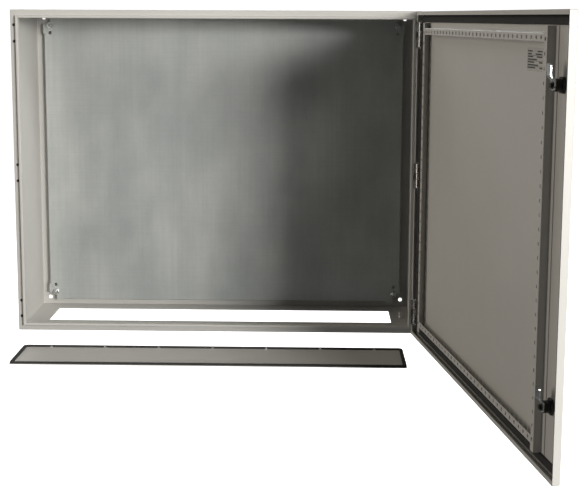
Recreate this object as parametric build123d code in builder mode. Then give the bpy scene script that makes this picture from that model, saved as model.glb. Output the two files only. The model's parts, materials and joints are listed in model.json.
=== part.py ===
from build123d import *
import os
from math import cos, radians, sin

# Wall-mounting sheet-steel combiner box, empty, with its door open and its gland plate taken off.
# Origin: centre of the wall-fixing pattern on the back face. +X right, -Y front, +Z up. Millimetres.

os.makedirs("parts", exist_ok=True)

# Enclosure
WIDTH = 1000
HEIGHT = 800
DEPTH = 300
SHEET = 1.5
CORNER_RADIUS = 3
WALL_HOLE_INSET = 20
WALL_HOLE_RADIUS = 5

# Front rim: an outer gutter, then a raised face that the door gasket seals on
GUTTER_WIDTH = 14
RIM_HEIGHT = 10
RIM_WIDTH = 20.5
RIM_RETURN = 7
BEND_RADII = [3, 1, 2, 2]

# Door, closed dimensions
DOOR_GAP = 1
DOOR_THICKNESS = 14.5
DOOR_REAR_GAP = 2.5
LIP_WIDTH = 8.5
DOOR_EDGE_RADIUS = 2
OPEN_ANGLE = 99.2
GUTTER_Y = -(DEPTH - DOOR_REAR_GAP - DOOR_THICKNESS)

# Hinges
HINGE_INSET = 5
HINGE_RISE = 9.5
HINGE_SPACING = 343
HINGE_HEIGHT = 60
KNUCKLE_RADIUS = 3
KNUCKLE_HALF = 8
KNUCKLE_GAP = 0.8
PIN_RADIUS = 2
PIN_PRESS = 0.02
PIN_RUNNING = 0.06
HINGE_HOLE_INSET = 9.4
HINGE_HOLE_PITCH = 40
HINGE_NOTCH = 66
HINGE_NOTCH_DEPTH = 10.5
FOOT_THICKNESS = 3
FOOT_GAP = 1.2
FOOT_RIGHT = -1
ARM_TOP = (-2.9, 0.7)
ARM_FOOT = 2.8
LEAF_THICKNESS = 2.4
LEAF_LEFT = -6.5
LEAF_RIGHT = 2.3
KNUCKLE_END = 1
WEB_WIDTH = 4
PIN_HEAD = 1.4
PIN_HEAD_PLAY = 0.1
PIN_BURY = 0.5
PIN_HEAD_SEAT = 0.6
PIN_END_ROUND = 0.6

# Mounting plate
PLATE_WIDTH = 956
PLATE_HEIGHT = 768
PLATE_THICKNESS = 3
PLATE_STANDOFF = 18
PLATE_FOLD = 12
FOLD_INSET = 2.5
FOLD_CLEAR_X = 40
FOLD_CLEAR_Z = 46
CORNER_NOTCH = [(0, 0), (20, 0), (20, 14), (15, 16.5), (0, 22)]
STUD_INSET = 40
SECOND_HOLE_DROP = 19.5
STUD_END = 12
SPACER_RADIUS = 7
WASHER_RADIUS = 8
WASHER_THICKNESS = 1.6

# Gland opening and gland plate
OPENING_WIDTH = 890
OPENING_DEPTH = 128
OPENING_Y = -119
GLAND_WIDTH = 917
GLAND_DEPTH = 152
GLAND_THICKNESS = 2
GLAND_REST_Y = -477
GLAND_DROP = 8
GLAND_GASKET_WIDTH = 10
GLAND_GASKET_THICKNESS = 4
GLAND_SCREWS = 7
GLAND_SCREW_PITCH = 130
GLAND_SCREW_INSET = 7.5
SCREW_NOTCH = 4.2
GLAND_CORNER = 8
GLAND_GASKET_INSET = 0.5
GLAND_SCREW_TIP = 3.5
PAN_HEAD = 3
PAN_HEAD_RADIUS = 4.75
PAN_HEAD_ROUND = 1.2

# Door furniture
GASKET_EDGE = 11
GASKET_WIDTH = 14.5
GASKET_THICKNESS = 5.2
GASKET_CORNER = 6
PROFILE_RISE = 15
PROFILE_FLANGE = 15
PROFILE_LENGTH = 744
SLOT_PITCH = 25
LOCK_EDGE = 50
LOCK_FROM_TOP = 125
LABEL_WIDTH = 86
LABEL_HEIGHT = 42
LABEL_FROM_EDGE = 191
LABEL_FROM_TOP = 87
LABEL_THICKNESS = 0.2
LABEL_CORNER = 2

# Locks: a housing through the skin, an insert that turns in it, and a cranked cam on the insert's square
HEAD_RADIUS = 14.5
HEAD_THICKNESS = 3
HEAD_ROUND = 1.2
SHANK_RADIUS = 11
SHANK_LENGTH = 15
SEAL_THICKNESS = 0.8
SEAL_INSET = 0.5
LOCK_NUT = (27, 5)
CORE_RADIUS = 6
CORE_SINK = 0.4
CORE_PLAY = 0.3
CORE_FLANGE_RADIUS = 9
CORE_SQUARE = 8
SQUARE_PLAY = 0.1
KEY_RADIUS = 4.6
KEY_PIN_RADIUS = 1.7
KEY_BIT = (7, 2)
KEY_DEPTH = 9
CAM_START = 16.5
CAM_THICKNESS = 3
CAM_WIDTH = 18
CAM_REACH = 36
CAM_CRANK = 7.5
CAM_BEND = 2
CRANK_START = 9
CRANK_END = 16
CAM_CORNER = 4
CAM_WASHER = (6.5, 1)
CAM_SCREW_FLATS = 8
CAM_SCREW_HEAD = 3.5
CAM_SCREW_LENGTH = 9

# Screw radii, the flats of their nuts and the usual clearances on a radius
M8 = 4
M6 = 3
M5 = 2.5
M8_NUT = (13, 6.5)
M6_NUT = (10, 5)
RUNNING = 0.05
HOLE_PLAY = 0.25
STUD_HOLE_PLAY = 0.5

HINGE_X = WIDTH / 2 - HINGE_INSET
HINGE_Y = GUTTER_Y - HINGE_RISE
HINGE_LEVELS = {"top": HINGE_SPACING, "middle": 0, "bottom": -HINGE_SPACING}
LOCK_LEVELS = {"upper": HEIGHT / 2 - LOCK_FROM_TOP, "lower": LOCK_FROM_TOP - HEIGHT / 2}

DOOR_WIDTH = WIDTH - 2 * DOOR_GAP
DOOR_HEIGHT = HEIGHT - 2 * DOOR_GAP
DOOR_RIGHT = HINGE_INSET - DOOR_GAP
DOOR_LEFT = DOOR_RIGHT - DOOR_WIDTH
DOOR_REAR = DOOR_REAR_GAP - HINGE_RISE
DOOR_FRONT = DOOR_REAR + DOOR_THICKNESS
SKIN = DOOR_FRONT - SHEET
DOOR_CENTRE = (DOOR_LEFT + DOOR_RIGHT) / 2
LOCK_X = DOOR_LEFT + LOCK_EDGE

DOOR_X_DIR = (cos(radians(OPEN_ANGLE)), sin(radians(OPEN_ANGLE)), 0)
DOOR_NORMAL = (sin(radians(OPEN_ANGLE)), -cos(radians(OPEN_ANGLE)), 0)


def door_face(rise):
    """Plane along the open door, a rise outwards of the hinge axis. Local x runs to the hinges, y up."""
    return Plane(origin=(HINGE_X, HINGE_Y, 0), x_dir=DOOR_X_DIR, z_dir=DOOR_NORMAL).offset(rise)


def door_level(height):
    """Level plane through the open door. Local x runs to the hinges, y out through the skin's inner face."""
    return Plane(origin=(HINGE_X, HINGE_Y, height), x_dir=DOOR_X_DIR, z_dir=(0, 0, -1))


def body_level(height):
    """Level plane at a hinge of the body. Local x runs right, y back, from the hinge axis."""
    return Plane(origin=(HINGE_X, HINGE_Y, height), x_dir=(1, 0, 0), z_dir=(0, 0, 1))


def finish(piece, node):
    """Labels a finished piece and writes it."""
    piece.part.label = node
    export_step(piece.part, f"parts/{node}.step")


def folded_wall(corner, inward, along, length):
    """One wall with its gutter and raised rim, mitred at both ends."""
    rim_y = GUTTER_Y - RIM_HEIGHT
    path = [
        (0, 0),
        (0, GUTTER_Y),
        (GUTTER_WIDTH, GUTTER_Y),
        (GUTTER_WIDTH, rim_y),
        (RIM_WIDTH, rim_y),
        (RIM_WIDTH, GUTTER_Y + RIM_RETURN),
    ]
    mitre = 2 * RIM_WIDTH
    with BuildPart() as wall:
        with BuildSketch(Plane(origin=corner, x_dir=inward, z_dir=along)):
            with BuildLine():
                FilletPolyline(*path, radius=BEND_RADII)
                offset(amount=SHEET, side=Side.LEFT)
            make_face()
        extrude(amount=length)
        with BuildSketch(Plane(origin=corner, x_dir=inward, z_dir=(0, -1, 0))):
            with BuildLine():
                start = CenterArc((CORNER_RADIUS, CORNER_RADIUS), CORNER_RADIUS, 180, 45)
                end = CenterArc((CORNER_RADIUS, length - CORNER_RADIUS), CORNER_RADIUS, 180, -45)
                Polyline(start @ 1, (mitre, mitre), (mitre, length - mitre), end @ 1)
                Line(start @ 0, end @ 0)
            make_face()
        extrude(amount=DEPTH, mode=Mode.INTERSECT)
    return wall.part


def hex_nut(plane, spots, across_flats, thickness, bore):
    """A group of hexagon nuts on a plane."""
    with BuildPart() as nuts:
        with BuildSketch(plane):
            with Locations(*spots):
                RegularPolygon(across_flats / 2, 6, major_radius=False)
                Circle(bore, mode=Mode.SUBTRACT)
        extrude(amount=thickness)
        straight = nuts.edges().filter_by(GeomType.LINE)
        rims = straight.filter_by(lambda edge: abs(edge.length - thickness) > 0.1)
        chamfer(rims, length=thickness / 10)
    return nuts


def ring_group(plane, spots, outer, inner, thickness):
    """A group of washers or spacers on a plane."""
    with BuildPart() as rings:
        with BuildSketch(plane):
            with Locations(*spots):
                Circle(outer)
                Circle(inner, mode=Mode.SUBTRACT)
        extrude(amount=thickness)
    return rings


def stud_group(plane, spots, radius, length):
    """A group of weld studs with a chamfered tip."""
    with BuildPart() as studs:
        with BuildSketch(plane):
            with Locations(*spots):
                Circle(radius)
        extrude(amount=length)
        tips = studs.faces().filter_by(lambda face: face.normal_at().dot(plane.z_dir) > 0.9)
        chamfer(tips.edges(), length=radius / 5)
    return studs


# ---------------------------------------------------------------- enclosure walls

gutter_hole_levels = []
for level in HINGE_LEVELS.values():
    for step in (-1, 1):
        gutter_hole_levels.append(level + step * HINGE_HOLE_PITCH / 2)
gutter_hole_x = WIDTH / 2 - HINGE_HOLE_INSET
left_gutter_holes = [(-gutter_hole_x, level) for level in gutter_hole_levels]
right_gutter_holes = [(gutter_hole_x, level) for level in gutter_hole_levels]
behind_gutter = Plane.XZ.offset(-GUTTER_Y - SHEET)

with BuildPart() as side_panel_left:
    add(folded_wall((-WIDTH / 2, 0, -HEIGHT / 2), (1, 0, 0), (0, 0, 1), HEIGHT))
    with BuildSketch(behind_gutter):
        with Locations(*left_gutter_holes):
            Circle(M5 + HOLE_PLAY)
    extrude(amount=SHEET, mode=Mode.SUBTRACT)
finish(side_panel_left, "side_panel_left")

with BuildPart() as side_panel_right:
    add(folded_wall((WIDTH / 2, 0, HEIGHT / 2), (-1, 0, 0), (0, 0, -1), HEIGHT))
    with BuildSketch(behind_gutter):
        with Locations(*right_gutter_holes):
            Circle(M5 + HOLE_PLAY)
    extrude(amount=SHEET, mode=Mode.SUBTRACT)
finish(side_panel_right, "side_panel_right")

with BuildPart() as top_panel:
    add(folded_wall((-WIDTH / 2, 0, HEIGHT / 2), (0, 0, -1), (1, 0, 0), WIDTH))
finish(top_panel, "top_panel")

screw_columns = [(i - (GLAND_SCREWS - 1) / 2) * GLAND_SCREW_PITCH for i in range(GLAND_SCREWS)]
screw_offset = GLAND_DEPTH / 2 - GLAND_SCREW_INSET

with BuildPart() as bottom_panel:
    add(folded_wall((WIDTH / 2, 0, -HEIGHT / 2), (0, 0, 1), (-1, 0, 0), WIDTH))
    with BuildSketch(Plane.XY.offset(-HEIGHT / 2)):
        with Locations((0, OPENING_Y)):
            RectangleRounded(OPENING_WIDTH, OPENING_DEPTH, CORNER_RADIUS)
        with Locations(*[(x, OPENING_Y + screw_offset) for x in screw_columns]):
            Circle(M5 + HOLE_PLAY)
    extrude(amount=SHEET, mode=Mode.SUBTRACT)
finish(bottom_panel, "bottom_panel")

with BuildPart() as back_panel:
    with BuildSketch(Plane.XZ):
        Rectangle(WIDTH - 2 * SHEET, HEIGHT - 2 * SHEET)
        with GridLocations(WIDTH - 2 * WALL_HOLE_INSET, HEIGHT - 2 * WALL_HOLE_INSET, 2, 2):
            Circle(WALL_HOLE_RADIUS, mode=Mode.SUBTRACT)
    extrude(amount=SHEET)
finish(back_panel, "back_panel")

# ---------------------------------------------------------------- mounting plate

stud_x = WIDTH / 2 - STUD_INSET
stud_z = HEIGHT / 2 - STUD_INSET
studs = [(sx * stud_x, sz * stud_z) for sx in (-1, 1) for sz in (-1, 1)]
second_holes = [(sx * stud_x, sz * (stud_z - SECOND_HOLE_DROP)) for sx in (-1, 1) for sz in (-1, 1)]
plate_back = SHEET + PLATE_STANDOFF
plate_front = plate_back + PLATE_THICKNESS
fold_x = PLATE_WIDTH / 2 - FOLD_INSET
fold_z = PLATE_HEIGHT / 2 - FOLD_INSET
side_fold_length = PLATE_HEIGHT - 2 * FOLD_CLEAR_Z
top_fold_length = PLATE_WIDTH - 2 * FOLD_CLEAR_X

with BuildPart() as mounting_plate:
    with BuildSketch(Plane.XZ.offset(plate_back)):
        Rectangle(PLATE_WIDTH, PLATE_HEIGHT)
        with Locations((-PLATE_WIDTH / 2, 0), (PLATE_WIDTH / 2, 0)):
            Rectangle(2 * FOLD_INSET, side_fold_length, mode=Mode.SUBTRACT)
        with Locations((0, -PLATE_HEIGHT / 2), (0, PLATE_HEIGHT / 2)):
            Rectangle(top_fold_length, 2 * FOLD_INSET, mode=Mode.SUBTRACT)
        for sx in (-1, 1):
            for sz in (-1, 1):
                outline = [(sx * (PLATE_WIDTH / 2 - a), sz * (PLATE_HEIGHT / 2 - b)) for a, b in CORNER_NOTCH]
                Polygon(*outline, align=None, mode=Mode.SUBTRACT)
        with Locations(*studs):
            Circle(M8 + STUD_HOLE_PLAY, mode=Mode.SUBTRACT)
        with Locations(*second_holes):
            Circle(M8 + HOLE_PLAY, mode=Mode.SUBTRACT)
    extrude(amount=PLATE_THICKNESS)
    with BuildSketch(Plane.XZ.offset(plate_front)):
        with Locations((-fold_x + PLATE_THICKNESS / 2, 0), (fold_x - PLATE_THICKNESS / 2, 0)):
            Rectangle(PLATE_THICKNESS, side_fold_length)
        with Locations((0, -fold_z + PLATE_THICKNESS / 2), (0, fold_z - PLATE_THICKNESS / 2)):
            Rectangle(top_fold_length, PLATE_THICKNESS)
    extrude(amount=-PLATE_FOLD)
    front_edges = mounting_plate.edges().group_by(Axis.Y)[0]
    bends = [edge for edge in front_edges if abs(edge.length - side_fold_length) < 1]
    bends += [edge for edge in front_edges if abs(edge.length - top_fold_length) < 1]
    fillet(bends, radius=PLATE_THICKNESS * 0.8)
finish(mounting_plate, "mounting_plate")

stud_length = plate_front - SHEET + STUD_END
washer_front = plate_front + WASHER_THICKNESS
on_stud = M8 + RUNNING
finish(stud_group(Plane.XZ.offset(SHEET), studs, M8, stud_length), "plate_studs")
finish(ring_group(Plane.XZ.offset(SHEET), studs, SPACER_RADIUS, on_stud, PLATE_STANDOFF), "plate_spacers")
plate_washers = ring_group(Plane.XZ.offset(plate_front), studs, WASHER_RADIUS, on_stud, WASHER_THICKNESS)
finish(plate_washers, "plate_washers")
finish(hex_nut(Plane.XZ.offset(washer_front), studs, *M8_NUT, on_stud), "plate_nuts")

# ---------------------------------------------------------------- hinges

foot_left = HINGE_INSET - GUTTER_WIDTH + FOOT_GAP
foot_top = HINGE_RISE - FOOT_THICKNESS
foot_mid = (foot_left + FOOT_RIGHT) / 2
leaf_mid = (LEAF_LEFT + LEAF_RIGHT) / 2
leaf_rear = SKIN - LEAF_THICKNESS


def hinge_base(level):
    """Body half of a hinge: a foot on the gutter floor and one knuckle on a slanted arm."""
    with BuildPart() as base:
        with BuildSketch(body_level(level - HINGE_HEIGHT / 2)):
            with Locations((foot_mid, HINGE_RISE - FOOT_THICKNESS / 2)):
                Rectangle(FOOT_RIGHT - foot_left, FOOT_THICKNESS)
        extrude(amount=HINGE_HEIGHT)
        with BuildSketch(Plane.XZ.offset(-GUTTER_Y)):
            with Locations((gutter_hole_x, level)):
                with GridLocations(1, HINGE_HOLE_PITCH, 1, 2):
                    Circle(M5 + RUNNING)
        extrude(amount=FOOT_THICKNESS, mode=Mode.SUBTRACT)
        with BuildSketch(body_level(level - KNUCKLE_HALF)):
            arm = [ARM_TOP, (foot_left, foot_top), (FOOT_RIGHT, foot_top), (FOOT_RIGHT, ARM_FOOT)]
            Polygon(*arm, align=None)
            Circle(KNUCKLE_RADIUS)
            Circle(PIN_RADIUS + PIN_PRESS, mode=Mode.SUBTRACT)
        extrude(amount=2 * KNUCKLE_HALF)
    return base


def hinge_leaf(level):
    """Door half of a hinge: a strip welded to the skin and two long knuckles."""
    with BuildPart() as leaf:
        with BuildSketch(door_level(level + HINGE_HEIGHT / 2)):
            with Locations((leaf_mid, (leaf_rear + SKIN) / 2)):
                Rectangle(LEAF_RIGHT - LEAF_LEFT, LEAF_THICKNESS)
        extrude(amount=HINGE_HEIGHT)
        knuckle_start = KNUCKLE_HALF + KNUCKLE_GAP
        length = HINGE_HEIGHT / 2 - knuckle_start - KNUCKLE_END
        for start in (level + knuckle_start + length, level - knuckle_start):
            with BuildSketch(door_level(start)):
                with Locations((-WEB_WIDTH / 2, SKIN / 2)):
                    Rectangle(WEB_WIDTH, SKIN)
                Circle(KNUCKLE_RADIUS)
                Circle(PIN_RADIUS + PIN_RUNNING, mode=Mode.SUBTRACT)
            extrude(amount=length)
    return leaf


def hinge_pin(level):
    """Loose pin with a low round head, dropped in from above."""
    with BuildPart() as pin:
        with BuildSketch(body_level(level - HINGE_HEIGHT / 2 + PIN_BURY)):
            Circle(PIN_RADIUS)
        extrude(amount=HINGE_HEIGHT - PIN_BURY)
        fillet(pin.edges().group_by(Axis.Z)[0], radius=PIN_END_ROUND)
        with BuildSketch(body_level(level + HINGE_HEIGHT / 2 - PIN_HEAD_SEAT)):
            Circle(KNUCKLE_RADIUS - PIN_HEAD_PLAY)
        extrude(amount=PIN_HEAD)
        fillet(pin.edges().group_by(Axis.Z)[-1], radius=PIN_END_ROUND)
    return pin


for place, level in HINGE_LEVELS.items():
    finish(hinge_base(level), f"hinge_base_{place}")
    finish(hinge_leaf(level), f"hinge_leaf_{place}")
    finish(hinge_pin(level), f"hinge_pin_{place}")

HEX_HEAD_RADIUS = 4
HEX_HEAD = 2.8
HEX_KEY_RADIUS = 2.2
HEX_FLOOR = 1
PLUG_HEAD_RADIUS = 3.8
PLUG_HEAD = 1.2
PLUG_TAIL = 2

with BuildPart() as hinge_base_screws:
    with BuildSketch(behind_gutter):
        with Locations(*right_gutter_holes):
            Circle(M5)
    extrude(amount=SHEET + FOOT_THICKNESS)
    with BuildSketch(behind_gutter):
        with Locations(*right_gutter_holes):
            Circle(HEX_HEAD_RADIUS)
            RegularPolygon(HEX_KEY_RADIUS, 6, mode=Mode.SUBTRACT)
    extrude(amount=-HEX_HEAD)
    with BuildSketch(behind_gutter):
        with Locations(*right_gutter_holes):
            Circle(HEX_HEAD_RADIUS)
    extrude(amount=-HEX_FLOOR)
finish(hinge_base_screws, "hinge_base_screws")

with BuildPart() as hinge_hole_plugs:
    with BuildSketch(Plane.XZ.offset(-GUTTER_Y)):
        with Locations(*left_gutter_holes):
            Circle(PLUG_HEAD_RADIUS)
    extrude(amount=PLUG_HEAD)
    fillet(hinge_hole_plugs.edges().group_by(Axis.Y)[0], radius=PLUG_HEAD * 2 / 3)
    with BuildSketch(Plane.XZ.offset(-GUTTER_Y)):
        with Locations(*left_gutter_holes):
            Circle(M5 + HOLE_PLAY - RUNNING)
    extrude(amount=-SHEET - PLUG_TAIL)
finish(hinge_hole_plugs, "hinge_hole_plugs")

# ---------------------------------------------------------------- earth studs

BODY_EARTH = [(471, -128)]
BODY_EARTH_LENGTH = 16
DOOR_EARTH = [(53, -325)]
DOOR_EARTH_LENGTH = 12

floor_inside = Plane.XY.offset(SHEET - HEIGHT / 2)
finish(stud_group(floor_inside, BODY_EARTH, M8, BODY_EARTH_LENGTH), "earth_stud")

skin_inside = door_face(SKIN)
skin_inward = Plane(origin=skin_inside.origin, x_dir=-skin_inside.x_dir, z_dir=-skin_inside.z_dir)
finish(stud_group(skin_inward, DOOR_EARTH, M6, DOOR_EARTH_LENGTH), "door_earth_stud")
finish(hex_nut(skin_inward, DOOR_EARTH, *M6_NUT, M6 + RUNNING), "door_earth_nut")

# ---------------------------------------------------------------- door panel

with BuildPart() as door_panel:
    with BuildSketch(door_face(DOOR_REAR)):
        with Locations((DOOR_CENTRE, 0)):
            RectangleRounded(DOOR_WIDTH, DOOR_HEIGHT, DOOR_EDGE_RADIUS)
    extrude(amount=DOOR_THICKNESS)
    front = door_panel.faces().filter_by(lambda face: face.normal_at().dot(Vector(*DOOR_NORMAL)) > 0.99)
    fillet(front.edges(), radius=DOOR_EDGE_RADIUS)
    with BuildSketch(door_face(DOOR_REAR)):
        with Locations((DOOR_CENTRE, 0)):
            Rectangle(DOOR_WIDTH - 2 * SHEET, DOOR_HEIGHT - 2 * SHEET)
    extrude(amount=DOOR_THICKNESS - SHEET, mode=Mode.SUBTRACT)
    with BuildSketch(door_face(DOOR_REAR)):
        with Locations((DOOR_CENTRE, 0)):
            Rectangle(DOOR_WIDTH - SHEET, DOOR_HEIGHT - SHEET)
        with Locations((DOOR_CENTRE - LIP_WIDTH, 0)):
            Rectangle(DOOR_WIDTH, DOOR_HEIGHT - 2 * LIP_WIDTH, mode=Mode.SUBTRACT)
    extrude(amount=SHEET)
    with BuildSketch(door_face(DOOR_REAR)):
        with Locations(*[(DOOR_RIGHT, level) for level in HINGE_LEVELS.values()]):
            Rectangle(2 * LIP_WIDTH + 2, HINGE_NOTCH)
    extrude(amount=HINGE_NOTCH_DEPTH, mode=Mode.SUBTRACT)
    with BuildSketch(door_face(SKIN)):
        with Locations((LOCK_X, LOCK_LEVELS["upper"]), (LOCK_X, LOCK_LEVELS["lower"])):
            Circle(SHANK_RADIUS + HOLE_PLAY)
    extrude(amount=SHEET, mode=Mode.SUBTRACT)
finish(door_panel, "door_panel")

with BuildPart() as door_gasket:
    with BuildSketch(door_face(SKIN)):
        with Locations((DOOR_CENTRE, 0)):
            RectangleRounded(DOOR_WIDTH - 2 * GASKET_EDGE, DOOR_HEIGHT - 2 * GASKET_EDGE, GASKET_CORNER)
            hole_edge = 2 * (GASKET_EDGE + GASKET_WIDTH)
            Rectangle(DOOR_WIDTH - hole_edge, DOOR_HEIGHT - hole_edge, mode=Mode.SUBTRACT)
    extrude(amount=-GASKET_THICKNESS)
finish(door_gasket, "door_gasket")

# ---------------------------------------------------------------- door stiffening profiles


def profile(origin, across, base, length):
    """Z-section strip: welded base, wall, and a proud flange."""
    into_the_box = -Vector(*DOOR_NORMAL)
    path = [(0, 0), (base, 0), (base, PROFILE_RISE), (base + PROFILE_FLANGE, PROFILE_RISE)]
    with BuildPart() as strip:
        with BuildSketch(Plane(origin=origin, x_dir=across, z_dir=Vector(*across).cross(into_the_box))):
            with BuildLine():
                FilletPolyline(*path, radius=PROFILE_BEND)
                offset(amount=SHEET, side=Side.RIGHT)
            make_face()
        extrude(amount=length / 2, both=True)
    return strip.part


LOCK_SIDE_BASE = 14
HINGE_SIDE_BASE = 10
LOCK_SIDE_START = 76
HINGE_SIDE_START = 65
LEVEL_START = 27
LEVEL_BASE = 12
PROFILE_END_GAP = 0.5
PROFILE_BEND = 1.6
SLOT_SIZE = 6.5
SLOT_CORNER = 1.5

lock_side_x = DOOR_LEFT + LOCK_SIDE_START
hinge_side_x = DOOR_RIGHT - HINGE_SIDE_START


def door_point(x, z, rise):
    """Point of the open door from its local coordinates."""
    return door_face(rise).from_local_coords((x, z, 0))


def door_profile(node, origin, across, base, length, slot_row, spacing):
    """Writes one stiffening profile with its row of holes."""
    with BuildPart() as strip:
        add(profile(origin, across, base, length))
        with BuildSketch(door_face(SKIN - PROFILE_RISE - 2 * SHEET)):
            with Locations(slot_row):
                with GridLocations(*spacing):
                    RectangleRounded(SLOT_SIZE, SLOT_SIZE, SLOT_CORNER)
        extrude(amount=3 * SHEET, mode=Mode.SUBTRACT)
    finish(strip, node)


profile_seat = SKIN - SHEET
flange_mid = (PROFILE_FLANGE + SHEET) / 2
upright_row = (1, SLOT_PITCH, 1, round(PROFILE_LENGTH / SLOT_PITCH) - 1)
door_profile(
    "door_frame_lock_side",
    door_point(lock_side_x, 0, profile_seat),
    DOOR_X_DIR,
    LOCK_SIDE_BASE,
    PROFILE_LENGTH,
    (lock_side_x + LOCK_SIDE_BASE + flange_mid, 0),
    upright_row,
)
door_profile(
    "door_frame_hinge_side",
    door_point(hinge_side_x, 0, profile_seat),
    tuple(-Vector(*DOOR_X_DIR)),
    HINGE_SIDE_BASE,
    PROFILE_LENGTH,
    (hinge_side_x - HINGE_SIDE_BASE - flange_mid, 0),
    upright_row,
)
level_left = lock_side_x + LOCK_SIDE_BASE + PROFILE_FLANGE + PROFILE_END_GAP
level_right = hinge_side_x - HINGE_SIDE_BASE - PROFILE_FLANGE - PROFILE_END_GAP
level_length = level_right - level_left
level_mid = (level_left + level_right) / 2
level_z = DOOR_HEIGHT / 2 - LEVEL_START
for node, side in (("door_frame_top", 1), ("door_frame_bottom", -1)):
    door_profile(
        node,
        door_point(level_mid, side * level_z, profile_seat),
        (0, 0, -side),
        LEVEL_BASE,
        level_length,
        (level_mid, side * (level_z - LEVEL_BASE - flange_mid)),
        (SLOT_PITCH, 1, int(level_length / SLOT_PITCH), 1),
    )

# ---------------------------------------------------------------- locks

cam_rise = SKIN - CAM_START
cam_face = cam_rise - CAM_THICKNESS
lock_front = DOOR_FRONT + SEAL_THICKNESS + HEAD_THICKNESS


def lock_seal(centre):
    """Flat seal under the head of a lock."""
    with BuildPart() as seal:
        with BuildSketch(door_face(DOOR_FRONT)):
            with Locations(centre):
                Circle(HEAD_RADIUS - SEAL_INSET)
                Circle(SHANK_RADIUS + HOLE_PLAY, mode=Mode.SUBTRACT)
        extrude(amount=SEAL_THICKNESS)
    return seal


def lock_housing(centre):
    """Round head and shank, bored through for the insert."""
    with BuildPart() as housing:
        with BuildSketch(door_face(DOOR_FRONT + SEAL_THICKNESS)):
            with Locations(centre):
                Circle(HEAD_RADIUS)
        extrude(amount=HEAD_THICKNESS)
        rim = housing.faces().filter_by(lambda face: face.normal_at().dot(Vector(*DOOR_NORMAL)) > 0.9)
        fillet(rim.edges(), radius=HEAD_ROUND)
        with BuildSketch(door_face(SKIN - SHANK_LENGTH)):
            with Locations(centre):
                Circle(SHANK_RADIUS)
        extrude(amount=SHANK_LENGTH + SHEET + SEAL_THICKNESS)
        with BuildSketch(door_face(SKIN - SHANK_LENGTH)):
            with Locations(centre):
                Circle(CORE_RADIUS)
        extrude(amount=lock_front - SKIN + SHANK_LENGTH, mode=Mode.SUBTRACT)
    return housing


def lock_insert(centre):
    """Turning core with a double-bit key way in front, and a flange and square for the cam behind."""
    with BuildPart() as insert:
        with BuildSketch(door_face(SKIN - SHANK_LENGTH - CORE_PLAY)):
            with Locations(centre):
                Circle(CORE_RADIUS - RUNNING)
        extrude(amount=lock_front - CORE_SINK - SKIN + SHANK_LENGTH + CORE_PLAY)
        with BuildSketch(door_face(cam_rise)):
            with Locations(centre):
                Circle(CORE_FLANGE_RADIUS)
        extrude(amount=CAM_START - SHANK_LENGTH - CORE_PLAY)
        with BuildSketch(door_face(cam_face)):
            with Locations(centre):
                Rectangle(CORE_SQUARE, CORE_SQUARE)
        extrude(amount=CAM_THICKNESS)
        with BuildSketch(door_face(lock_front - KEY_DEPTH)):
            with Locations(centre):
                Circle(KEY_RADIUS)
                Circle(KEY_PIN_RADIUS, mode=Mode.SUBTRACT)
                Rectangle(*KEY_BIT, mode=Mode.SUBTRACT)
        extrude(amount=KEY_DEPTH, mode=Mode.SUBTRACT)
        with BuildSketch(door_face(cam_face)):
            with Locations(centre):
                Circle(M5 + RUNNING)
        extrude(amount=CAM_SCREW_LENGTH + CORE_PLAY, mode=Mode.SUBTRACT)
    return insert


def lock_cam(centre):
    """Plate on the insert's square, cranked into the box and pointing up."""
    x, level = centre
    side = door_point(x - CAM_WIDTH / 2, level, cam_rise)
    path = [(-CAM_WIDTH / 2, 0), (CRANK_START, 0), (CRANK_END, -CAM_CRANK), (CAM_REACH, -CAM_CRANK)]
    with BuildPart() as cam:
        with BuildSketch(Plane(origin=side, x_dir=(0, 0, 1), z_dir=DOOR_X_DIR)):
            with BuildLine():
                FilletPolyline(*path, radius=CAM_BEND)
                offset(amount=CAM_THICKNESS, side=Side.RIGHT)
            make_face()
        extrude(amount=CAM_WIDTH)
        with BuildSketch(door_face(cam_rise - CAM_CRANK - 2 * CAM_THICKNESS)):
            with Locations(centre):
                Circle(CAM_WIDTH / 2)
            with Locations((x, level + CAM_REACH - CAM_WIDTH)):
                RectangleRounded(CAM_WIDTH, 2 * CAM_WIDTH, CAM_CORNER)
            with Locations((x, level + CAM_REACH / 4)):
                Rectangle(CAM_WIDTH, CAM_REACH / 2)
        extrude(amount=CAM_CRANK + 3 * CAM_THICKNESS, mode=Mode.INTERSECT)
        with BuildSketch(door_face(cam_face)):
            with Locations(centre):
                Rectangle(CORE_SQUARE + SQUARE_PLAY, CORE_SQUARE + SQUARE_PLAY)
        extrude(amount=CAM_THICKNESS, mode=Mode.SUBTRACT)
    return cam


def cam_screw(centre):
    """Hexagon screw with a washer that holds the cam."""
    washer_radius, washer_thickness = CAM_WASHER
    with BuildPart() as screw:
        with BuildSketch(door_face(cam_face)):
            with Locations(centre):
                Circle(washer_radius)
        extrude(amount=-washer_thickness)
        with BuildSketch(door_face(cam_face - washer_thickness)):
            with Locations(centre):
                RegularPolygon(CAM_SCREW_FLATS / 2, 6, major_radius=False)
        extrude(amount=-CAM_SCREW_HEAD)
        with BuildSketch(door_face(cam_face)):
            with Locations(centre):
                Circle(M5)
        extrude(amount=CAM_SCREW_LENGTH)
    return screw


skin_back = Plane(origin=skin_inside.origin, x_dir=skin_inside.x_dir, z_dir=-skin_inside.z_dir)
for place, level in LOCK_LEVELS.items():
    centre = (LOCK_X, level)
    finish(lock_seal(centre), f"lock_seal_{place}")
    finish(lock_housing(centre), f"lock_housing_{place}")
    finish(hex_nut(skin_back, [(LOCK_X, -level)], *LOCK_NUT, SHANK_RADIUS + RUNNING), f"lock_nut_{place}")
    finish(lock_insert(centre), f"lock_insert_{place}")
    finish(lock_cam(centre), f"lock_cam_{place}")
    finish(cam_screw(centre), f"cam_screw_{place}")

# ---------------------------------------------------------------- data label

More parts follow.
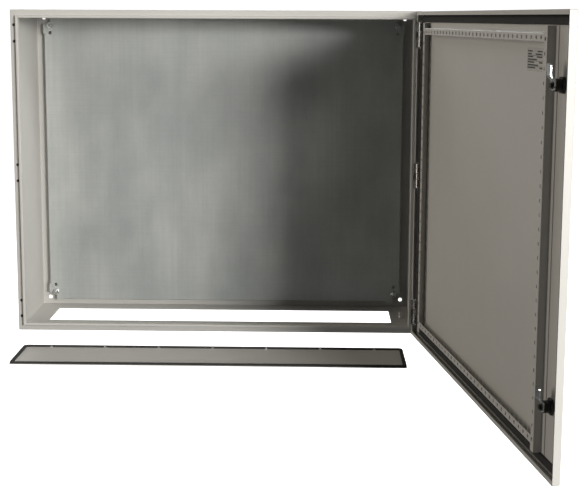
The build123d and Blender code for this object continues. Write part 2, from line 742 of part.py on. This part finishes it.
with BuildPart() as data_label:
    with BuildSketch(door_face(SKIN)):
        with Locations((DOOR_LEFT + LABEL_FROM_EDGE, DOOR_HEIGHT / 2 - LABEL_FROM_TOP)):
            RectangleRounded(LABEL_WIDTH, LABEL_HEIGHT, LABEL_CORNER)
    extrude(amount=-LABEL_THICKNESS)
finish(data_label, "data_label")

# ---------------------------------------------------------------- gland plate

gland_top = Plane.XY.offset(-HEIGHT / 2 - GLAND_DROP)
gland_screws = [(x, GLAND_REST_Y + screw_offset) for x in screw_columns]

with BuildPart() as gland_plate:
    with BuildSketch(gland_top):
        with Locations((0, GLAND_REST_Y)):
            RectangleRounded(GLAND_WIDTH, GLAND_DEPTH, GLAND_CORNER)
        with Locations(*gland_screws):
            Circle(M5 + HOLE_PLAY, mode=Mode.SUBTRACT)
    extrude(amount=-GLAND_THICKNESS)
finish(gland_plate, "gland_plate")

with BuildPart() as gland_plate_gasket:
    with BuildSketch(gland_top):
        with Locations((0, GLAND_REST_Y)):
            outer = 2 * GLAND_GASKET_INSET
            inner = outer + 2 * GLAND_GASKET_WIDTH
            RectangleRounded(GLAND_WIDTH - outer, GLAND_DEPTH - outer, GLAND_CORNER - GLAND_GASKET_INSET)
            Rectangle(GLAND_WIDTH - inner, GLAND_DEPTH - inner, mode=Mode.SUBTRACT)
        with Locations(*gland_screws):
            Circle(SCREW_NOTCH, mode=Mode.SUBTRACT)
    extrude(amount=GLAND_GASKET_THICKNESS)
finish(gland_plate_gasket, "gland_plate_gasket")

with BuildPart() as gland_plate_screws:
    with BuildSketch(gland_top.offset(-GLAND_THICKNESS - PAN_HEAD)):
        with Locations(*gland_screws):
            Circle(PAN_HEAD_RADIUS)
    extrude(amount=PAN_HEAD)
    fillet(gland_plate_screws.edges().group_by(Axis.Z)[0], radius=PAN_HEAD_ROUND)
    with BuildSketch(gland_top.offset(-GLAND_THICKNESS - PAN_HEAD)):
        with Locations(*gland_screws):
            Circle(M5)
    extrude(amount=PAN_HEAD + GLAND_THICKNESS + GLAND_SCREW_TIP)
finish(gland_plate_screws, "gland_plate_screws")
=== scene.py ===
import json
from math import cos, hypot, pi, radians, sin

import bmesh
import bpy
from mathutils import Matrix, Vector


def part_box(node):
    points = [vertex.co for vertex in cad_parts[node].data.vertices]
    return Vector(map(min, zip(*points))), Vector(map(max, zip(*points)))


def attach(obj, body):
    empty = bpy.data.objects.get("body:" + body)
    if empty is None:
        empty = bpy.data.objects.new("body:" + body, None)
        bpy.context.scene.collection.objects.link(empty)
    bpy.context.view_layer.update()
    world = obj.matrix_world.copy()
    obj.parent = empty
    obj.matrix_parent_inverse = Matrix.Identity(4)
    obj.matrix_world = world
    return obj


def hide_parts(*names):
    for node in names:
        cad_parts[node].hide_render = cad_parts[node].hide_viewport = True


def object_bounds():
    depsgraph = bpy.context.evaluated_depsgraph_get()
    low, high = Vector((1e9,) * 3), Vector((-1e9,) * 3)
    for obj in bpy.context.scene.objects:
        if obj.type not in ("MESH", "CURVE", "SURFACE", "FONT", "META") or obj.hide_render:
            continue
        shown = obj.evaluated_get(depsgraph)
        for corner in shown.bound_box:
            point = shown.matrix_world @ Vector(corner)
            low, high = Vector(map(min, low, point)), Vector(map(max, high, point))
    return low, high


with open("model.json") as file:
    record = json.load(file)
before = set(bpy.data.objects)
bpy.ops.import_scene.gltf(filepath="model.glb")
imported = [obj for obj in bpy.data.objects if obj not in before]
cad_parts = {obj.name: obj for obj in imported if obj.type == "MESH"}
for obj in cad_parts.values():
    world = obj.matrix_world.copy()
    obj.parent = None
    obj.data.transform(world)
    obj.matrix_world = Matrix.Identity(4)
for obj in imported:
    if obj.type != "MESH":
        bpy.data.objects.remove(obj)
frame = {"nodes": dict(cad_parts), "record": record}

scene = bpy.context.scene
nodes = frame["nodes"]
joints = {joint["name"]: joint for joint in frame["record"]["behaviour"]["joints"]}
cad_low, cad_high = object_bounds()

# ------------------------------------------------------------------ camera

IMAGE_WIDTH = 580
SENSOR = 36.0
FOCAL_PIXELS = 1200.7
CAMERA_PLACE = (0.239, -3.218, 0.384)
CAMERA_TURN = (81.74, -0.25, 1.13)
CAMERA_SHIFT = -0.10

camera_data = bpy.data.cameras.new("camera")
camera_data.sensor_width = SENSOR
camera_data.lens = FOCAL_PIXELS / IMAGE_WIDTH * SENSOR
camera_data.shift_y = CAMERA_SHIFT
camera_data.clip_end = 60
camera = bpy.data.objects.new("camera", camera_data)
camera.location = CAMERA_PLACE
camera.rotation_euler = [radians(turn) for turn in CAMERA_TURN]
scene.collection.objects.link(camera)
scene.camera = camera
scene.view_settings.view_transform = "Standard"

# ------------------------------------------------------------------ the open door's own axes

hinge = joints["door_hinge"]
open_angle = radians(-hinge["range_deg"][0])
door_axes = Matrix.Translation(Vector(hinge["pos_m"])) @ Matrix.Rotation(open_angle, 4, "Z")


def local_box(node, axes):
    """Lowest and highest corner of a CAD node along other axes than the row's."""
    inverse = axes.inverted()
    points = [inverse @ vertex.co for vertex in nodes[node].data.vertices]
    low = Vector([min(point[i] for point in points) for i in range(3)])
    high = Vector([max(point[i] for point in points) for i in range(3)])
    return low, high


# ------------------------------------------------------------------ material tools


class Shader:
    """A node material with short calls for what every finish here needs."""

    def __init__(self, name, roughness, metallic=0.0, specular=0.5):
        self.material = bpy.data.materials.new(name)
        self.material.use_nodes = True
        self.tree = self.material.node_tree
        self.bsdf = self.tree.nodes["Principled BSDF"]
        self.bsdf.inputs["Roughness"].default_value = roughness
        self.bsdf.inputs["Metallic"].default_value = metallic
        self.bsdf.inputs["Specular IOR Level"].default_value = specular
        self.place = self.tree.nodes.new("ShaderNodeTexCoord").outputs["Object"]

    def link(self, source, target):
        self.tree.links.new(source, target)

    def stretched(self, scale):
        mapping = self.tree.nodes.new("ShaderNodeMapping")
        mapping.inputs["Scale"].default_value = scale
        self.link(self.place, mapping.inputs["Vector"])
        return mapping.outputs["Vector"]

    def noise(self, scale, detail=3.0, rough=0.55, vector=None):
        node = self.tree.nodes.new("ShaderNodeTexNoise")
        node.inputs["Scale"].default_value = scale
        node.inputs["Detail"].default_value = detail
        node.inputs["Roughness"].default_value = rough
        self.link(vector or self.place, node.inputs["Vector"])
        return node.outputs["Fac"]

    def cells(self, scale, output="Color"):
        node = self.tree.nodes.new("ShaderNodeTexVoronoi")
        node.inputs["Scale"].default_value = scale
        self.link(self.place, node.inputs["Vector"])
        return node.outputs[output]

    def ramp(self, source, low, high, start=0.3, end=0.7):
        node = self.tree.nodes.new("ShaderNodeMapRange")
        node.inputs["From Min"].default_value = start
        node.inputs["From Max"].default_value = end
        node.inputs["To Min"].default_value = low
        node.inputs["To Max"].default_value = high
        self.link(source, node.inputs["Value"])
        return node.outputs["Result"]

    def blend(self, factor, first, second):
        node = self.tree.nodes.new("ShaderNodeMix")
        node.data_type = "RGBA"
        self.feed(factor, node.inputs[0])
        self.feed(first, node.inputs[6])
        self.feed(second, node.inputs[7])
        return node.outputs[2]

    def feed(self, value, socket):
        if isinstance(value, bpy.types.NodeSocket):
            self.link(value, socket)
        elif isinstance(value, tuple):
            socket.default_value = (*value, 1.0)
        else:
            socket.default_value = value

    def colour(self, source):
        self.link(source, self.bsdf.inputs["Base Color"])

    def rough(self, source):
        self.link(source, self.bsdf.inputs["Roughness"])

    def bump(self, *layers):
        """Each layer is a height source and its depth in metres."""
        normal = None
        for source, depth in layers:
            node = self.tree.nodes.new("ShaderNodeBump")
            node.inputs["Strength"].default_value = 1.0
            node.inputs["Distance"].default_value = depth
            self.link(source, node.inputs["Height"])
            if normal is not None:
                self.link(normal, node.inputs["Normal"])
            normal = node.outputs["Normal"]
        self.link(normal, self.bsdf.inputs["Normal"])


def powder_coat():
    """Light grey fine-texture powder coat with orange peel."""
    paint = Shader("powder_coat", 0.5, specular=0.45)
    cloud = paint.ramp(paint.noise(3.1, 4.0), 0.0, 1.0, 0.35, 0.65)
    tint = paint.blend(cloud, (0.61, 0.60, 0.57), (0.58, 0.57, 0.54))
    grain = paint.ramp(paint.noise(1900, 2.0), 0.0, 1.0)
    paint.colour(paint.blend(paint.ramp(grain, 0.0, 0.16, 0.0, 1.0), tint, (0.45, 0.45, 0.43)))
    paint.rough(paint.ramp(paint.noise(55, 3.0), 0.38, 0.43))
    paint.bump((paint.noise(260, 2.0), 0.00012), (grain, 0.00003))
    return paint.material


def galvanised():
    """Skin-passed zinc on sheet: soft clouds, fine crossed rolling marks, upright handling streaks."""
    zinc = Shader("galvanised_sheet", 0.45, metallic=0.5)
    cloud = zinc.noise(3.6, 7.0, 0.62, zinc.stretched((1.6, 1.0, 0.9)))
    streak = zinc.noise(1.0, 5.0, 0.6, zinc.stretched((150, 30, 3.0)))
    crossed = zinc.noise(1.0, 4.0, 0.6, zinc.stretched((9.0, 30, 300)))
    spangle = zinc.cells(260)
    tone = zinc.blend(zinc.ramp(cloud, 0.0, 1.0, 0.36, 0.66), (0.50, 0.54, 0.53), (0.66, 0.68, 0.66))
    tone = zinc.blend(zinc.ramp(streak, 0.0, 0.30), tone, (0.45, 0.465, 0.46))
    tone = zinc.blend(zinc.ramp(crossed, 0.0, 0.24), tone, (0.44, 0.455, 0.45))
    zinc.colour(zinc.blend(zinc.ramp(spangle, 0.0, 0.22, 0.0, 1.0), tone, (0.66, 0.665, 0.65)))
    zinc.rough(zinc.ramp(cloud, 0.38, 0.50))
    zinc.bump((streak, 0.000015), (crossed, 0.00001), (zinc.noise(900, 2.0), 0.00001))
    return zinc.material


def plated(name, light, dark, roughness):
    """Bright plating on small steel or die-cast pieces."""
    metal = Shader(name, roughness, metallic=1.0)
    cloud = metal.noise(160, 4.0)
    metal.colour(metal.blend(metal.ramp(cloud, 0.0, 1.0), light, dark))
    metal.rough(metal.ramp(metal.noise(420, 3.0), roughness - 0.07, roughness + 0.09))
    metal.bump((metal.noise(700, 3.0), 0.00002))
    return metal.material


def black_coating():
    """Black coated die casting with a fine grain."""
    coat = Shader("black_coating", 0.38)
    cloud = coat.noise(90, 4.0)
    coat.colour(coat.blend(coat.ramp(cloud, 0.0, 1.0), (0.012, 0.012, 0.012), (0.028, 0.028, 0.027)))
    coat.rough(coat.ramp(cloud, 0.32, 0.46))
    coat.bump((coat.noise(1500, 2.0), 0.00002))
    return coat.material


def foam():
    """Poured foam gasket: matt skin with fine open cells."""
    rubber = Shader("foam_gasket", 0.85, specular=0.25)
    cell = rubber.cells(1300, output="Distance")
    cloud = rubber.noise(60, 4.0)
    rubber.colour(rubber.blend(rubber.ramp(cloud, 0.0, 1.0), (0.030, 0.030, 0.030), (0.052, 0.051, 0.049)))
    rubber.rough(rubber.ramp(cloud, 0.75, 0.95))
    rubber.bump((rubber.noise(75, 3.0), 0.00025), (cell, 0.00012))
    return rubber.material


def black_plastic():
    """Moulded black plug with a spark-eroded grain."""
    plastic = Shader("black_plastic", 0.5)
    grain = plastic.noise(1100, 3.0)
    plastic.colour(plastic.blend(plastic.ramp(grain, 0.0, 1.0), (0.013, 0.013, 0.013), (0.024, 0.024, 0.024)))
    plastic.rough(plastic.ramp(grain, 0.42, 0.6))
    plastic.bump((grain, 0.00003))
    return plastic.material


def film():
    """Matt grey label film."""
    label = Shader("label_film", 0.55, specular=0.35)
    cloud = label.noise(45, 3.0)
    label.colour(label.blend(label.ramp(cloud, 0.0, 1.0), (0.55, 0.54, 0.51), (0.50, 0.49, 0.465)))
    label.rough(label.ramp(cloud, 0.48, 0.62))
    label.bump((label.noise(600, 2.0), 0.00001))
    return label.material


def ink():
    """Dark printing ink, slightly uneven."""
    print_ink = Shader("label_ink", 0.6, specular=0.3)
    cloud = print_ink.noise(900, 3.0)
    tone = print_ink.ramp(cloud, 0.0, 1.0)
    print_ink.colour(print_ink.blend(tone, (0.03, 0.03, 0.03), (0.075, 0.072, 0.068)))
    print_ink.bump((cloud, 0.000005))
    return print_ink.material


finishes = {
    "powder_coat": powder_coat(),
    "galvanised_sheet": galvanised(),
    "zinc_plated_steel": plated("zinc_plated_steel", (0.78, 0.79, 0.79), (0.64, 0.65, 0.66), 0.22),
    "hinge_zinc": plated("hinge_zinc", (0.72, 0.72, 0.71), (0.56, 0.56, 0.55), 0.24),
    "black_coating": black_coating(),
    "foam_gasket": foam(),
    "black_plastic": black_plastic(),
    "label_film": film(),
}
ink_finish = ink()

for subpart in frame["record"]["subparts"]:
    for material_slot in nodes[subpart["node"]].material_slots:
        material_slot.material = finishes[subpart["material_slot"]]

# ------------------------------------------------------------------ pieces


def new_piece(name, body, slot, build, finish=None, replaced=()):
    """A mesh piece made by a function that fills a bmesh, riding on a body."""
    mesh = bpy.data.meshes.new(name)
    work = bmesh.new()
    build(work)
    bmesh.ops.recalc_face_normals(work, faces=work.faces)
    work.to_mesh(mesh)
    work.free()
    piece = bpy.data.objects.new(name, mesh)
    scene.collection.objects.link(piece)
    mesh.materials.append(finish or finishes[slot])
    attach(piece, body)
    if replaced:
        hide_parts(*replaced)
    return piece


def smooth(piece, angle):
    """Smooth shading with sharp edges kept above an angle."""
    for polygon in piece.data.polygons:
        polygon.use_smooth = True
    work = bmesh.new()
    work.from_mesh(piece.data)
    for edge in work.edges:
        edge.smooth = edge.calc_face_angle(0) < radians(angle)
    work.to_mesh(piece.data)
    work.free()


# Foam beads: a domed section carried round a rounded rectangle. A section's points are shares of the
# bead's width, inward from its outer side, and of its height. The door bead has a thin foot that spreads
# outward under the door's lip; this dark foam filling the gap between lip and bead is painted shade, standing
# in for the shadow in that gap.

BEAD_CORNER_STEPS = 10
BEAD_SMOOTH_ANGLE = 60
DOME = [
    (0.0, 0.5), (0.03, 0.76), (0.10, 0.93), (0.22, 0.99), (0.5, 1.0),
    (0.78, 0.99), (0.90, 0.93), (0.97, 0.76), (1.0, 0.5), (1.0, 0.0),
]
PLAIN_FOOT = [(0.0, 0.0)]
# Painted shade: the foot lays dark foam in the gap under the door's lip, where there is only shadow.
SHADE_FILL_FOOT = [(-0.24, 0.0), (-0.24, 0.10), (-0.02, 0.16)]
GASKET_WIDTH = 0.0145
GASKET_CORNER = 0.009
GASKET_STEP = 0.012
GLAND_GASKET_WIDTH = 0.0085
GLAND_GASKET_CORNER = 0.011
GLAND_GASKET_STEP = 0.0015
GLAND_SCREWS = 7
SCREW_CLEARANCE = 0.0042
STRAIGHT_RUN = 0.99


def ring_path(half_width, half_height, corner, step_length):
    """Corner centres and outward directions round a rounded rectangle, arcs and straight runs in turn."""
    path = []
    signs = [(1, 1), (-1, 1), (-1, -1), (1, -1)]
    centres = [(sx * (half_width - corner), sy * (half_height - corner)) for sx, sy in signs]
    for index, (cx, cy) in enumerate(centres):
        for step in range(BEAD_CORNER_STEPS + 1):
            angle = (index + step / BEAD_CORNER_STEPS) * pi / 2
            path.append((cx, cy, cos(angle), sin(angle)))
        ex, ey = centres[(index + 1) % 4]
        angle = (index + 1) * pi / 2
        count = max(2, round(hypot(ex - cx, ey - cy) / step_length))
        for step in range(1, count):
            share = step / count
            path.append((cx + (ex - cx) * share, cy + (ey - cy) * share, cos(angle), sin(angle)))
    return path


def bead(work, axes, u, v, rise, low, high, section, width, corner, step_length, screws=()):
    """A closed foam ring of one section; the inner side of its +v run bows out round each screw."""
    centre = (low + high) / 2
    half_u, half_v = (high[u] - low[u]) / 2, (high[v] - low[v]) / 2
    rings = []
    for cx, cy, out_u, out_v in ring_path(half_u, half_v, corner, step_length):
        ring = []
        for inward, height in section:
            reach = corner - inward * width
            point = Vector((0, 0, 0))
            point[u] = centre[u] + cx + out_u * reach
            point[v] = centre[v] + cy + out_v * reach
            point[rise] = low[rise] + (high[rise] - low[rise]) * height
            for screw_u, screw_v in screws:
                beside = abs(point[u] - screw_u)
                if out_v > STRAIGHT_RUN and beside < SCREW_CLEARANCE:
                    point[v] = max(point[v], screw_v + (SCREW_CLEARANCE**2 - beside**2) ** 0.5)
            ring.append(work.verts.new(axes @ point))
        rings.append(ring)
    for first, second in zip(rings, rings[1:] + rings[:1]):
        for i in range(len(section)):
            j = (i + 1) % len(section)
            work.faces.new((first[i], first[j], second[j], second[i]))


def build_door_gasket(work):
    low, high = local_box("door_gasket", door_axes)
    # The foot is painted shade: dark foam filling the shadowed gap under the lip.
    section = SHADE_FILL_FOOT + DOME
    bead(work, door_axes, 0, 2, 1, low, high, section, GASKET_WIDTH, GASKET_CORNER, GASKET_STEP)


def build_gland_gasket(work):
    low, high = [Vector(corner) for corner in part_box("gland_plate_gasket")]
    screw_low, screw_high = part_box("gland_plate_screws")
    middle = (screw_low[1] + screw_high[1]) / 2
    radius = (screw_high[1] - screw_low[1]) / 2
    first, last = screw_low[0] + radius, screw_high[0] - radius
    pitch = (last - first) / (GLAND_SCREWS - 1)
    screws = [(first + i * pitch, middle) for i in range(GLAND_SCREWS)]
    section = PLAIN_FOOT + DOME
    width, corner, step_length = GLAND_GASKET_WIDTH, GLAND_GASKET_CORNER, GLAND_GASKET_STEP
    bead(work, Matrix(), 0, 1, 2, low, high, section, width, corner, step_length, screws)


door_bead = new_piece("door_gasket_bead", "door", "foam_gasket", build_door_gasket, replaced=("door_gasket",))
smooth(door_bead, BEAD_SMOOTH_ANGLE)
gland_bead = new_piece(
    "gland_gasket_bead", "gland_cover", "foam_gasket", build_gland_gasket, replaced=("gland_plate_gasket",)
)
smooth(gland_bead, BEAD_SMOOTH_ANGLE)

# Threaded studs: the CAD studs are plain, these carry the thread.

STUD_RADIUS = 0.004
M8_PITCH = 0.00125
M6_PITCH = 0.001
THREAD_SIDES = 28
THREAD_STEPS = 8
THREAD_DEPTH = 0.61
TIP_THREAD_SHARE = 0.3
SMALL_SMOOTH_ANGLE = 50


def threaded_rod(work, axes, radius, length, pitch):
    """A rod along the local Z axis from z = 0, with a helical thread and a chamfered tip."""
    rows = []
    count = round(length / pitch * THREAD_STEPS)
    for row in range(count + 1):
        z = length * row / count
        tip = radius - max(0.0, z - length + pitch)
        ring = []
        for side in range(THREAD_SIDES):
            angle = 2 * pi * side / THREAD_SIDES
            phase = (z / pitch - side / THREAD_SIDES) % 1.0
            depth = pitch * THREAD_DEPTH * abs(2 * phase - 1)
            reach = min(radius - depth, tip - depth * TIP_THREAD_SHARE)
            ring.append(work.verts.new(axes @ Vector((reach * cos(angle), reach * sin(angle), z))))
        rows.append(ring)
    for first, second in zip(rows, rows[1:]):
        for i in range(THREAD_SIDES):
            j = (i + 1) % THREAD_SIDES
            work.faces.new((first[i], first[j], second[j], second[i]))
    work.faces.new(rows[0][::-1])
    work.faces.new(rows[-1])


def stud_axes(point, direction):
    """Axes with Z along a direction, at a point."""
    return Matrix.Translation(point) @ Vector(direction).to_track_quat("Z", "X").to_matrix().to_4x4()


def build_plate_studs(work):
    low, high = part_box("plate_studs")
    for x in (low[0] + STUD_RADIUS, high[0] - STUD_RADIUS):
        for z in (low[2] + STUD_RADIUS, high[2] - STUD_RADIUS):
            axes = stud_axes(Vector((x, high[1], z)), (0, -1, 0))
            threaded_rod(work, axes, STUD_RADIUS, high[1] - low[1], M8_PITCH)


def build_earth_stud(work):
    low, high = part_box("earth_stud")
    middle = Vector(((low[0] + high[0]) / 2, (low[1] + high[1]) / 2, low[2]))
    threaded_rod(work, Matrix.Translation(middle), (high[0] - low[0]) / 2, high[2] - low[2], M8_PITCH)


def build_door_earth_stud(work):
    low, high = local_box("door_earth_stud", door_axes)
    foot = door_axes @ Vector(((low.x + high.x) / 2, low.y, (low.z + high.z) / 2))
    inward = door_axes.to_3x3() @ Vector((0, 1, 0))
    threaded_rod(work, stud_axes(foot, inward), (high.z - low.z) / 2, high.y - low.y, M6_PITCH)


for name, body, build in (
    ("plate_studs", "enclosure", build_plate_studs),
    ("earth_stud", "enclosure", build_earth_stud),
    ("door_earth_stud", "door", build_door_earth_stud),
):
    piece = new_piece(f"threaded_{name}", body, "zinc_plated_steel", build, replaced=(name,))
    smooth(piece, SMALL_SMOOTH_ANGLE)

# Plain print on the data label: ruled lines and short bars, no lettering.

PRINT_RISE = 0.00008
PRINT_MARGIN = 0.004
LINE_WIDTH = 0.0007
BAR_ROWS = 7
BAR_HEIGHT = 0.0024
BAR_START = 0.1
# Shares of the print's width: the left bar's length, then where the right bar ends.
BAR_SHARES = [(0.32, 0.36), (0.26, 0.48), (0.36, 0.40), (0.62, 0.0), (0.44, 0.24), (0.70, 0.0), (0.52, 0.20)]


def slab(work, axes, low, high):
    """A closed thin block between two corners."""
    (x0, x1), (y0, y1), (z0, z1) = zip(low, high)
    corners = [(x, y, z) for x in (x0, x1) for y in (y0, y1) for z in (z0, z1)]
    verts = [work.verts.new(axes @ Vector(corner)) for corner in corners]
    for ring in ((0, 1, 3, 2), (4, 6, 7, 5), (0, 4, 5, 1), (2, 3, 7, 6), (0, 2, 6, 4), (1, 5, 7, 3)):
        work.faces.new([verts[i] for i in ring])


def build_label_print(work):
    low, high = local_box("data_label", door_axes)
    base, top = high.y, high.y + PRINT_RISE
    right, left = low.x + PRINT_MARGIN, high.x - PRINT_MARGIN
    upper, lower = high.z - PRINT_MARGIN, low.z + PRINT_MARGIN
    width, row = left - right, (upper - lower) / BAR_ROWS
    for i, (first, second) in enumerate(BAR_SHARES):
        z = upper - (i + 0.5) * row
        bars = [(left - first * width, left), (right + second * width * BAR_START, right + second * width)]
        for x0, x1 in bars:
            if x1 - x0 > LINE_WIDTH:
                slab(work, door_axes, (x0, base, z - BAR_HEIGHT / 2), (x1, top, z + BAR_HEIGHT / 2))
        if i % 2:
            edge = z - row / 2
            slab(work, door_axes, (right, base, edge - LINE_WIDTH / 2), (left, top, edge + LINE_WIDTH / 2))


new_piece("label_print", "door", "label_film", build_label_print, finish=ink_finish)

# Spot welds along the feet of the door's stiffening profiles.

SHEET = 0.0015
WELD_RADIUS = 0.0032
WELD_RISE = 0.00035
WELD_PITCH = 0.093
WELD_INSET = 0.006
WELD_SIDES = 20
WELD_RINGS = [(1.0, 0.0), (0.86, 0.7), (0.62, 1.0), (0.40, 0.55), (0.0, 0.35)]


def weld(work, axes, centre):
    """A shallow ringed dimple, raised off the sheet."""
    rings = []
    for share, height in WELD_RINGS[:-1]:
        ring = []
        for side in range(WELD_SIDES):
            angle = 2 * pi * side / WELD_SIDES
            offset = Vector((cos(angle), 0, sin(angle))) * WELD_RADIUS * share
            ring.append(work.verts.new(axes @ (centre + offset + Vector((0, WELD_RISE * height, 0)))))
        rings.append(ring)
    for first, second in zip(rings, rings[1:]):
        for i in range(WELD_SIDES):
            j = (i + 1) % WELD_SIDES
            work.faces.new((first[i], first[j], second[j], second[i]))
    work.faces.new(rings[-1])
    work.faces.new(rings[0][::-1])


def build_welds(work):
    for name in ("lock_side", "hinge_side", "top", "bottom"):
        low, high = local_box(f"door_frame_{name}", door_axes)
        base = low.y + SHEET
        along, across = (2, 0) if name.endswith("side") else (0, 2)
        outer_high = name in ("hinge_side", "top")
        spot = Vector((0, base, 0))
        spot[across] = high[across] - WELD_INSET if outer_high else low[across] + WELD_INSET
        length = high[along] - low[along]
        count = round(length / WELD_PITCH)
        for i in range(count):
            spot[along] = low[along] + length * (i + 0.5) / count
            weld(work, door_axes, spot)


smooth(new_piece("door_frame_welds", "door", "powder_coat", build_welds), SMALL_SMOOTH_ANGLE)

# ------------------------------------------------------------------ floor and light

FLOOR_DROP = 0.55
FLOOR_SIZE = 40
PAPER_WHITE = 1.05
FILL_LIGHT = 0.015
GLOW_HEIGHT = 0.02

floor_mesh = bpy.data.meshes.new("floor")
floor_z = cad_low.z - FLOOR_DROP
half = FLOOR_SIZE / 2
floor_mesh.from_pydata(
    [(-half, -half, floor_z), (half, -half, floor_z), (half, half, floor_z), (-half, half, floor_z)],
    [],
    [(0, 1, 2, 3)],
)
floor = bpy.data.objects.new("floor", floor_mesh)
scene.collection.objects.link(floor)
floor_shader = Shader("floor_paint", 0.9, specular=0.1)
floor_shader.colour(floor_shader.blend(floor_shader.noise(0.8), (0.90, 0.90, 0.90), (0.93, 0.93, 0.93)))
floor_shader.bsdf.inputs["Emission Color"].default_value = (1, 1, 1, 1)
floor_shader.bsdf.inputs["Emission Strength"].default_value = PAPER_WHITE
floor_mesh.materials.append(floor_shader.material)
floor.visible_diffuse = False
floor.visible_glossy = False

world = bpy.data.worlds.new("studio")
scene.world = world
world.use_nodes = True
world_tree = world.node_tree
background = world_tree.nodes["Background"]
background.inputs["Color"].default_value = (1, 1, 1, 1)
background.inputs["Strength"].default_value = FILL_LIGHT
seen = world_tree.nodes.new("ShaderNodeBackground")
seen.inputs["Color"].default_value = (1, 1, 1, 1)
seen.inputs["Strength"].default_value = PAPER_WHITE
mixer = world_tree.nodes.new("ShaderNodeMixShader")
light_path = world_tree.nodes.new("ShaderNodeLightPath")
world_tree.links.new(light_path.outputs["Is Camera Ray"], mixer.inputs[0])
world_tree.links.new(background.outputs[0], mixer.inputs[1])
world_tree.links.new(seen.outputs[0], mixer.inputs[2])
world_tree.links.new(mixer.outputs[0], world_tree.nodes["World Output"].inputs["Surface"])


def area_light(name, place, aim, size, power, tint=(1.0, 1.0, 1.0)):
    """A rectangular softbox that points at a spot; it is hidden from the camera."""
    data = bpy.data.lights.new(name, "AREA")
    data.shape = "RECTANGLE"
    data.size, data.size_y = size
    data.energy = power
    data.color = tint
    lamp = bpy.data.objects.new(name, data)
    lamp.location = place
    lamp.visible_camera = False
    lamp.rotation_euler = (Vector(aim) - Vector(place)).to_track_quat("-Z", "Y").to_euler()
    scene.collection.objects.link(lamp)


BOX_MIDDLE = (0.0, -0.15, 0.0)
DOOR_MIDDLE = (0.58, -0.8, 0.0)
PLATE_SPOT = (0.25, 0.0, 0.05)
WARM_WHITE = (1.0, 0.98, 0.95)

area_light("wide_key", (3.55, -5.5, 1.0), PLATE_SPOT, (2.2, 1.6), 120, WARM_WHITE)
area_light("front_key", (2.75, -5.5, 0.72), PLATE_SPOT, (1.0, 1.0), 195, WARM_WHITE)
area_light("high_key", (2.6, -3.0, 3.3), (0.0, -0.4, -0.2), (1.6, 1.6), 74, WARM_WHITE)
area_light("left", (-4.0, -0.8, 0.6), (0.6, -0.6, 0.0), (1.2, 3.6), 70, (1.0, 0.91, 0.80))
area_light("reflector", (-2.6, -4.0, 0.1), BOX_MIDDLE, (1.2, 2.2), 7)
area_light("right", (3.8, 0.6, 1.2), DOOR_MIDDLE, (2.0, 2.0), 90)
area_light("back", (-1.2, 3.0, 2.6), BOX_MIDDLE, (2.4, 2.4), 80)
area_light("floor_glow", (0.1, -0.5, floor_z + GLOW_HEIGHT), (0.1, -0.5, 0.0), (3.0, 2.4), 3)
